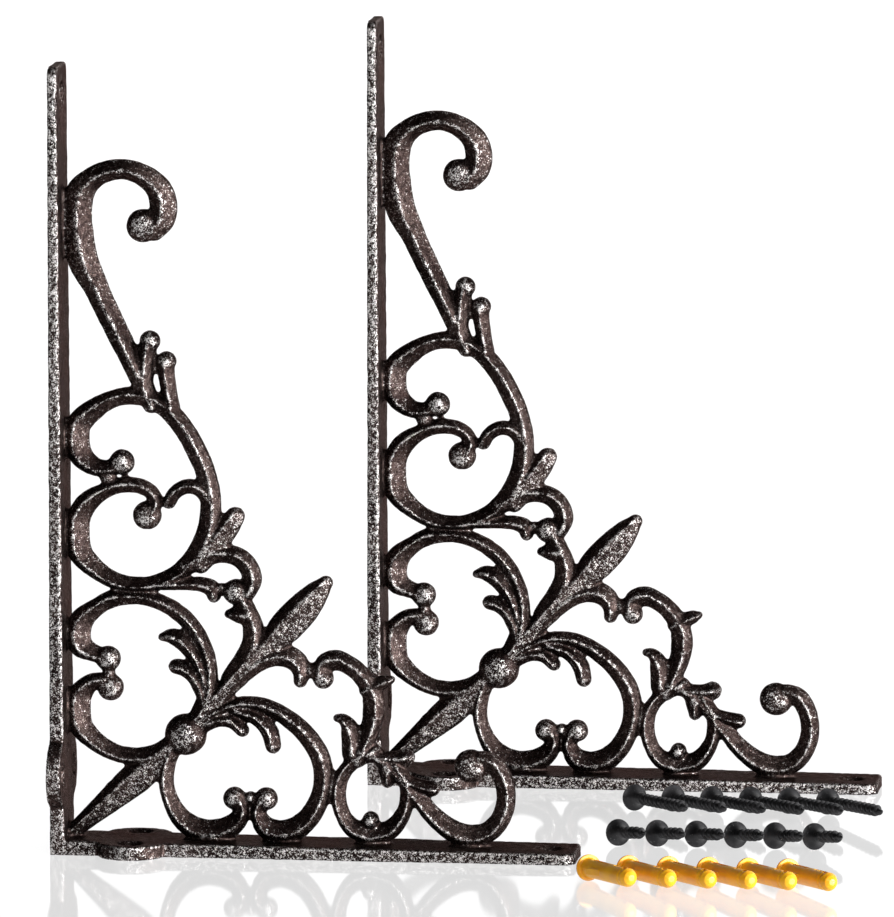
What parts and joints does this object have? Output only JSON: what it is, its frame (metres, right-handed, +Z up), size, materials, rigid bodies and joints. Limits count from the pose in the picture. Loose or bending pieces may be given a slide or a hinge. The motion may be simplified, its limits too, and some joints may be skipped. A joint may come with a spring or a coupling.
{
  "type": "ornate shelf bracket set",
  "caption": "Pair of L-shaped cast-iron wall shelf brackets with scrolls and leaves, laid out with their screws and wall plugs.",
  "frame": {"origin": "bottom centre of the whole set's box, on the surface that everything stands or lies on", "axes": "+X from the wall leg to the tip of the shelf leg, +Y from the front bracket to the rear one, +Z up along the wall legs"},
  "size_m": [0.247, 0.2206, 0.24],
  "materials": {
    "cast_iron": "pebbly sand-cast surface, dark brown-black with silver rubbed high spots",
    "black_screw": "black phosphate, satin",
    "plug_nylon": "moulded nylon, semi-matte"
  },
  "bodies": {
    "bracket_front": {"bracket_front": "cast_iron"},
    "bracket_rear": {"bracket_rear": "cast_iron"},
    "wall_screws": {"wall_screw_1": "black_screw", "wall_screw_2": "black_screw", "wall_screw_3": "black_screw", "wall_screw_4": "black_screw", "wall_screw_5": "black_screw", "wall_screw_6": "black_screw"},
    "shelf_screws": {"shelf_screw_1": "black_screw", "shelf_screw_2": "black_screw", "shelf_screw_3": "black_screw", "shelf_screw_4": "black_screw", "shelf_screw_5": "black_screw", "shelf_screw_6": "black_screw"},
    "wall_plugs": {"wall_plug_1": "plug_nylon", "wall_plug_2": "plug_nylon", "wall_plug_3": "plug_nylon", "wall_plug_4": "plug_nylon", "wall_plug_5": "plug_nylon", "wall_plug_6": "plug_nylon"}
  },
  "joints": [
    {"name": "bracket_rear_lift", "type": "slide", "parent": "bracket_front", "child": "bracket_rear", "axis": [0, 0, 1], "range_m": [0, 0.26]},
    {"name": "wall_screws_lift", "type": "slide", "parent": "bracket_front", "child": "wall_screws", "axis": [0, 0, 1], "range_m": [0, 0.26]},
    {"name": "shelf_screws_lift", "type": "slide", "parent": "bracket_front", "child": "shelf_screws", "axis": [0, 0, 1], "range_m": [0, 0.26]},
    {"name": "wall_plugs_lift", "type": "slide", "parent": "bracket_front", "child": "wall_plugs", "axis": [0, 0, 1], "range_m": [0, 0.26]}
  ]
}
